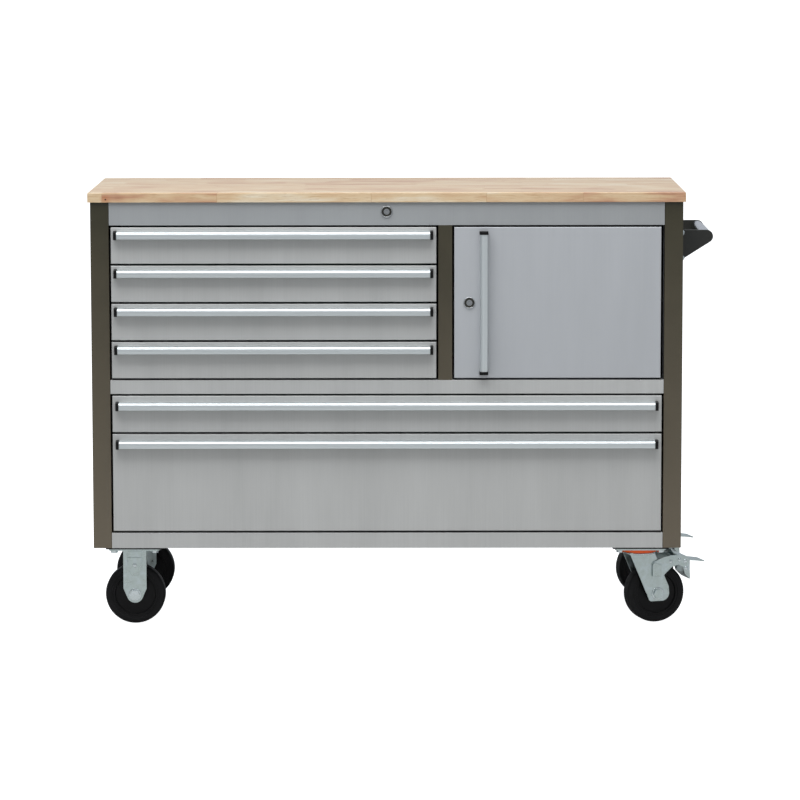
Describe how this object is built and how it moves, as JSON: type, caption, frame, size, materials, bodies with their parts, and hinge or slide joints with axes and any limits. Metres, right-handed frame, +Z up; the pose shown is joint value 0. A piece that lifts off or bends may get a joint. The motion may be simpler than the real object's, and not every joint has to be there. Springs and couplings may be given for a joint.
{
  "type": "rolling tool chest",
  "caption": "Rolling tool chest with drawers, a side cupboard, a wooden worktop, a push handle and braked swivel casters.",
  "frame": {"origin": "on the floor, in the middle of the box round the whole chest with its pulls and push handle", "axes": "+X along the length towards the push handle, +Y from the front to the back (drawers open along -Y), +Z up to the worktop"},
  "size_m": [1.283, 0.4746, 0.9],
  "materials": {
    "rubberwood": "satin lacquer over finger-jointed rubberwood",
    "brushed_stainless": "brushed stainless steel, upright grain",
    "bronze_coat": "semi-gloss olive bronze powder coat",
    "grey_coat": "fine-textured grey powder coat",
    "zinc_steel": "bright zinc plate",
    "anodised_aluminium": "satin anodised extrusion",
    "black_plastic": "moulded black plastic",
    "dark_coat": "dark grey powder coat",
    "orange_seal": "moulded orange polyurethane",
    "black_rubber": "black rubber tyre on a black moulded core",
    "lock_chrome": "bright chrome plate"
  },
  "bodies": {
    "cabinet": {"worktop": "rubberwood", "side_panel_left": "bronze_coat", "side_panel_right": "bronze_coat", "back_panel": "grey_coat", "header_rail": "brushed_stainless", "center_divider": "bronze_coat", "mid_deck": "brushed_stainless", "bottom_pan": "brushed_stainless", "compartment_liner": "grey_coat", "cabinet_shelf": "grey_coat", "door_hinge_pins": "zinc_steel", "main_lock_housing": "lock_chrome", "push_handle_tube": "dark_coat", "push_handle_brackets": "dark_coat", "caster_support_plates": "dark_coat", "rigid_caster_forks": "zinc_steel", "swivel_caster_plates": "zinc_steel", "caster_dust_seals": "orange_seal", "fasteners": "zinc_steel", "slide_outer_members": "zinc_steel"},
    "door": {"door_skin": "brushed_stainless", "door_inner_pan": "grey_coat", "door_pull": "anodised_aluminium", "door_hinge_bushes": "black_plastic", "door_lock_housing": "lock_chrome"},
    "door_lock": {"door_lock_plug": "lock_chrome"},
    "main_lock": {"main_lock_plug": "lock_chrome"},
    "lock_bar": {"lock_bar": "zinc_steel"},
    "drawer_1": {"drawer_1_front": "brushed_stainless", "drawer_1_box": "grey_coat", "drawer_1_pull": "anodised_aluminium"},
    "drawer_1_slides": {"drawer_1_slide_middles": "zinc_steel"},
    "drawer_2": {"drawer_2_front": "brushed_stainless", "drawer_2_box": "grey_coat", "drawer_2_pull": "anodised_aluminium"},
    "drawer_2_slides": {"drawer_2_slide_middles": "zinc_steel"},
    "drawer_3": {"drawer_3_front": "brushed_stainless", "drawer_3_box": "grey_coat", "drawer_3_pull": "anodised_aluminium"},
    "drawer_3_slides": {"drawer_3_slide_middles": "zinc_steel"},
    "drawer_4": {"drawer_4_front": "brushed_stainless", "drawer_4_box": "grey_coat", "drawer_4_pull": "anodised_aluminium"},
    "drawer_4_slides": {"drawer_4_slide_middles": "zinc_steel"},
    "drawer_5": {"drawer_5_front": "brushed_stainless", "drawer_5_box": "grey_coat", "drawer_5_pull": "anodised_aluminium"},
    "drawer_5_slides": {"drawer_5_slide_middles": "zinc_steel"},
    "drawer_6": {"drawer_6_front": "brushed_stainless", "drawer_6_box": "grey_coat", "drawer_6_pull": "anodised_aluminium"},
    "drawer_6_slides": {"drawer_6_slide_middles": "zinc_steel"},
    "wheel_front_left": {"wheel_front_left": "black_rubber"},
    "wheel_rear_left": {"wheel_rear_left": "black_rubber"},
    "swivel_front": {"swivel_fork_front": "zinc_steel"},
    "wheel_front_right": {"wheel_front_right": "black_rubber"},
    "brake_front": {"brake_pedal_front": "zinc_steel"},
    "swivel_rear": {"swivel_fork_rear": "zinc_steel"},
    "wheel_rear_right": {"wheel_rear_right": "black_rubber"},
    "brake_rear": {"brake_pedal_rear": "zinc_steel"}
  },
  "joints": [
    {"name": "drawer_1_slide", "type": "slide", "parent": "cabinet", "child": "drawer_1", "axis": [0, -1, 0], "range_m": [0, 0.4]},
    {"name": "drawer_1_slide_middle", "type": "slide", "parent": "cabinet", "child": "drawer_1_slides", "axis": [0, -1, 0], "range_m": [0, 0.2]},
    {"name": "drawer_2_slide", "type": "slide", "parent": "cabinet", "child": "drawer_2", "axis": [0, -1, 0], "range_m": [0, 0.4]},
    {"name": "drawer_2_slide_middle", "type": "slide", "parent": "cabinet", "child": "drawer_2_slides", "axis": [0, -1, 0], "range_m": [0, 0.2]},
    {"name": "drawer_3_slide", "type": "slide", "parent": "cabinet", "child": "drawer_3", "axis": [0, -1, 0], "range_m": [0, 0.4]},
    {"name": "drawer_3_slide_middle", "type": "slide", "parent": "cabinet", "child": "drawer_3_slides", "axis": [0, -1, 0], "range_m": [0, 0.2]},
    {"name": "drawer_4_slide", "type": "slide", "parent": "cabinet", "child": "drawer_4", "axis": [0, -1, 0], "range_m": [0, 0.4]},
    {"name": "drawer_4_slide_middle", "type": "slide", "parent": "cabinet", "child": "drawer_4_slides", "axis": [0, -1, 0], "range_m": [0, 0.2]},
    {"name": "drawer_5_slide", "type": "slide", "parent": "cabinet", "child": "drawer_5", "axis": [0, -1, 0], "range_m": [0, 0.4]},
    {"name": "drawer_5_slide_middle", "type": "slide", "parent": "cabinet", "child": "drawer_5_slides", "axis": [0, -1, 0], "range_m": [0, 0.2]},
    {"name": "drawer_6_slide", "type": "slide", "parent": "cabinet", "child": "drawer_6", "axis": [0, -1, 0], "range_m": [0, 0.4]},
    {"name": "drawer_6_slide_middle", "type": "slide", "parent": "cabinet", "child": "drawer_6_slides", "axis": [0, -1, 0], "range_m": [0, 0.2]},
    {"name": "door_hinge", "type": "hinge", "parent": "cabinet", "child": "door", "pos_m": [0.5229, -0.20875, 0.6737], "axis": [0, 0, 1], "range_deg": [0, 105]},
    {"name": "door_lock_turn", "type": "hinge", "parent": "door", "child": "door_lock", "pos_m": [0.1373, -0.21775, 0.6737], "axis": [0, 1, 0], "range_deg": [0, 90]},
    {"name": "main_lock_turn", "type": "hinge", "parent": "cabinet", "child": "main_lock", "pos_m": [-0.0315, -0.21775, 0.8605], "axis": [0, -1, 0], "range_deg": [0, 90]},
    {"name": "lock_bar_lift", "type": "slide", "parent": "cabinet", "child": "lock_bar", "axis": [0, 0, 1], "range_m": [0, 0.0226]},
    {"name": "wheel_front_left_spin", "type": "hinge", "parent": "cabinet", "child": "wheel_front_left", "pos_m": [-0.555, -0.14975, 0.062], "axis": [0, 1, 0], "continuous": true},
    {"name": "wheel_rear_left_spin", "type": "hinge", "parent": "cabinet", "child": "wheel_rear_left", "pos_m": [-0.555, 0.16425, 0.062], "axis": [0, 1, 0], "continuous": true},
    {"name": "swivel_front_turn", "type": "hinge", "parent": "cabinet", "child": "swivel_front", "pos_m": [0.492, -0.14975, 0.1492], "axis": [0, 0, 1], "continuous": true},
    {"name": "wheel_front_right_spin", "type": "hinge", "parent": "swivel_front", "child": "wheel_front_right", "pos_m": [0.52276, -0.14093, 0.062], "axis": [-0.2756, 0.9613, 0], "continuous": true},
    {"name": "brake_front_press", "type": "hinge", "parent": "swivel_front", "child": "brake_front", "pos_m": [0.5218, -0.1412, 0.114], "axis": [-0.2756, 0.9613, 0], "range_deg": [0, 9]},
    {"name": "swivel_rear_turn", "type": "hinge", "parent": "cabinet", "child": "swivel_rear", "pos_m": [0.492, 0.16425, 0.1492], "axis": [0, 0, 1], "continuous": true},
    {"name": "wheel_rear_right_spin", "type": "hinge", "parent": "swivel_rear", "child": "wheel_rear_right", "pos_m": [0.52276, 0.17307, 0.062], "axis": [-0.2756, 0.9613, 0], "continuous": true},
    {"name": "brake_rear_press", "type": "hinge", "parent": "swivel_rear", "child": "brake_rear", "pos_m": [0.5218, 0.1728, 0.114], "axis": [-0.2756, 0.9613, 0], "range_deg": [0, 9]}
  ],
  "couplings": [
    {"joint": "drawer_1_slide_middle", "follows": "drawer_1_slide", "ratio": 0.5},
    {"joint": "drawer_2_slide_middle", "follows": "drawer_2_slide", "ratio": 0.5},
    {"joint": "drawer_3_slide_middle", "follows": "drawer_3_slide", "ratio": 0.5},
    {"joint": "drawer_4_slide_middle", "follows": "drawer_4_slide", "ratio": 0.5},
    {"joint": "drawer_5_slide_middle", "follows": "drawer_5_slide", "ratio": 0.5},
    {"joint": "drawer_6_slide_middle", "follows": "drawer_6_slide", "ratio": 0.5},
    {"joint": "main_lock_turn", "follows": "lock_bar_lift", "rad_per_m": 69.42}
  ]
}
